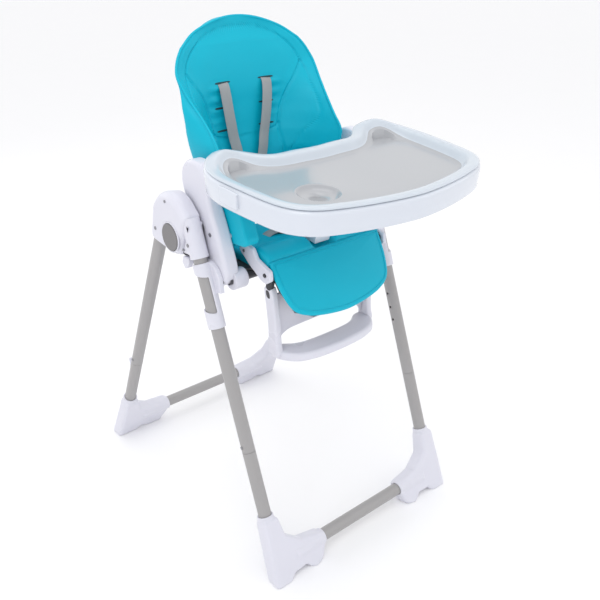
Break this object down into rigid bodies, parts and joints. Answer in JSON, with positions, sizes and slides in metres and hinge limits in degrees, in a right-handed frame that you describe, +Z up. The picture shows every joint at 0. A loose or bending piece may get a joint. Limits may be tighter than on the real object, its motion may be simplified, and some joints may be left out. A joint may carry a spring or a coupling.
{
  "type": "baby high chair",
  "caption": "Folding baby high chair with tubular legs, height-adjustable padded seat, reclining backrest, harness, leg rest, footrest and sliding tray with a removable insert.",
  "frame": {"origin": "on the floor under the middle of the footprint", "axes": "+Z up, the child faces -Y, +X is to the right as seen from in front of the chair"},
  "size_m": [0.5342, 0.8273, 1.08],
  "materials": {
    "white_plastic": "satin moulded white plastic",
    "leg_paint": "satin warm grey powder coat",
    "dark_plastic": "fine matte grain, dark grey",
    "button_grey": "fine matte grain, mid grey",
    "tray_white": "high gloss white",
    "tray_clear": "milky translucent insert, high gloss",
    "leatherette": "turquoise coated fabric with a soft sheen and fine grain",
    "webbing": "grey woven webbing",
    "screw_steel": "dark zinc",
    "steel_tube": "dark grey satin paint"
  },
  "bodies": {
    "front_frame": {"front_leg_left": "leg_paint", "front_leg_right": "leg_paint", "front_lower_leg_left": "leg_paint", "front_lower_leg_right": "leg_paint", "front_crossbar": "leg_paint", "front_foot_left": "white_plastic", "front_foot_right": "white_plastic", "front_socket_left": "white_plastic", "front_socket_right": "white_plastic", "hub_pin_left": "screw_steel", "hub_pin_right": "screw_steel", "front_leg_buttons": "screw_steel", "frame_screws": "screw_steel"},
    "rear_frame": {"rear_leg_left": "leg_paint", "rear_leg_right": "leg_paint", "rear_lower_leg_left": "leg_paint", "rear_lower_leg_right": "leg_paint", "rear_crossbar": "leg_paint", "rear_foot_left": "white_plastic", "rear_foot_right": "white_plastic", "hub_cover_left": "white_plastic", "hub_cover_right": "white_plastic", "rear_leg_buttons": "screw_steel", "tray_hooks": "white_plastic", "hub_screws": "screw_steel"},
    "fold_button_left": {"fold_button_left": "button_grey"},
    "fold_button_right": {"fold_button_right": "button_grey"},
    "seat": {"slider_left": "white_plastic", "slider_right": "white_plastic", "side_panel_left": "white_plastic", "side_panel_right": "white_plastic", "cross_tube": "steel_tube", "seat_rail_left": "steel_tube", "seat_rail_right": "steel_tube", "seat_shell": "dark_plastic", "legrest_bracket_left": "white_plastic", "legrest_bracket_right": "white_plastic", "seat_pad": "leatherette", "side_pad_left": "leatherette", "side_pad_right": "leatherette", "lap_straps": "webbing", "crotch_strap": "webbing", "buckle": "dark_plastic", "seat_screws": "screw_steel"},
    "height_lever_left": {"height_lever_left": "white_plastic"},
    "height_lever_right": {"height_lever_right": "white_plastic"},
    "backrest": {"backrest_shell": "white_plastic", "backrest_pad": "leatherette", "recline_pins": "screw_steel", "shoulder_strap_left": "webbing", "shoulder_strap_right": "webbing"},
    "recline_handle": {"recline_handle": "dark_plastic"},
    "legrest": {"calf_pad": "leatherette", "legrest_board": "dark_plastic"},
    "footrest": {"footrest": "white_plastic"},
    "tray": {"tray_base": "tray_white", "crotch_post": "tray_white"},
    "tray_insert": {"tray_insert": "tray_clear"},
    "tray_latch_left": {"tray_latch_left": "tray_white"},
    "tray_latch_right": {"tray_latch_right": "tray_white"}
  },
  "joints": [
    {"name": "frame_fold", "type": "hinge", "parent": "front_frame", "child": "rear_frame", "pos_m": [0, 0.0123, 0.691], "axis": [-1, 0, 0], "range_deg": [0, 43]},
    {"name": "seat_height", "type": "slide", "parent": "front_frame", "child": "seat", "axis": [0, -0.3437, -0.9391], "range_m": [0, 0.204]},
    {"name": "backrest_recline", "type": "hinge", "parent": "seat", "child": "backrest", "pos_m": [0, 0.0923, 0.662], "axis": [-1, 0, 0], "range_deg": [0, 40]},
    {"name": "legrest_tilt", "type": "hinge", "parent": "seat", "child": "legrest", "pos_m": [0, -0.1577, 0.636], "axis": [-1, 0, 0], "range_deg": [0, 55]},
    {"name": "footrest_slide", "type": "slide", "parent": "legrest", "child": "footrest", "axis": [0, 0, -1], "range_m": [0, 0.03]},
    {"name": "tray_slide", "type": "slide", "parent": "seat", "child": "tray", "axis": [0, -0.9974, -0.0715], "range_m": [0, 0.06]},
    {"name": "insert_lift", "type": "slide", "parent": "tray", "child": "tray_insert", "axis": [0, -0.0715, 0.9974], "range_m": [0, 0.06]},
    {"name": "recline_grip", "type": "slide", "parent": "backrest", "child": "recline_handle", "axis": [0, 0, 1], "range_m": [0, 0.01], "stiffness_N_per_m": 900},
    {"name": "fold_button_press_left", "type": "slide", "parent": "rear_frame", "child": "fold_button_left", "axis": [1, 0, 0], "range_m": [0, 0.0035], "stiffness_N_per_m": 1500},
    {"name": "height_lever_squeeze_left", "type": "hinge", "parent": "seat", "child": "height_lever_left", "pos_m": [-0.246, -0.0217, 0.651], "axis": [1, 0, 0], "range_deg": [0, 10], "stiffness_Nm_per_rad": 1},
    {"name": "tray_latch_press_left", "type": "slide", "parent": "tray", "child": "tray_latch_left", "axis": [1, 0, 0], "range_m": [0, 0.004], "stiffness_N_per_m": 1500},
    {"name": "fold_button_press_right", "type": "slide", "parent": "rear_frame", "child": "fold_button_right", "axis": [-1, 0, 0], "range_m": [0, 0.0035], "stiffness_N_per_m": 1500},
    {"name": "height_lever_squeeze_right", "type": "hinge", "parent": "seat", "child": "height_lever_right", "pos_m": [0.246, -0.0217, 0.651], "axis": [1, 0, 0], "range_deg": [0, 10], "stiffness_Nm_per_rad": 1},
    {"name": "tray_latch_press_right", "type": "slide", "parent": "tray", "child": "tray_latch_right", "axis": [-1, 0, 0], "range_m": [0, 0.004], "stiffness_N_per_m": 1500}
  ]
}
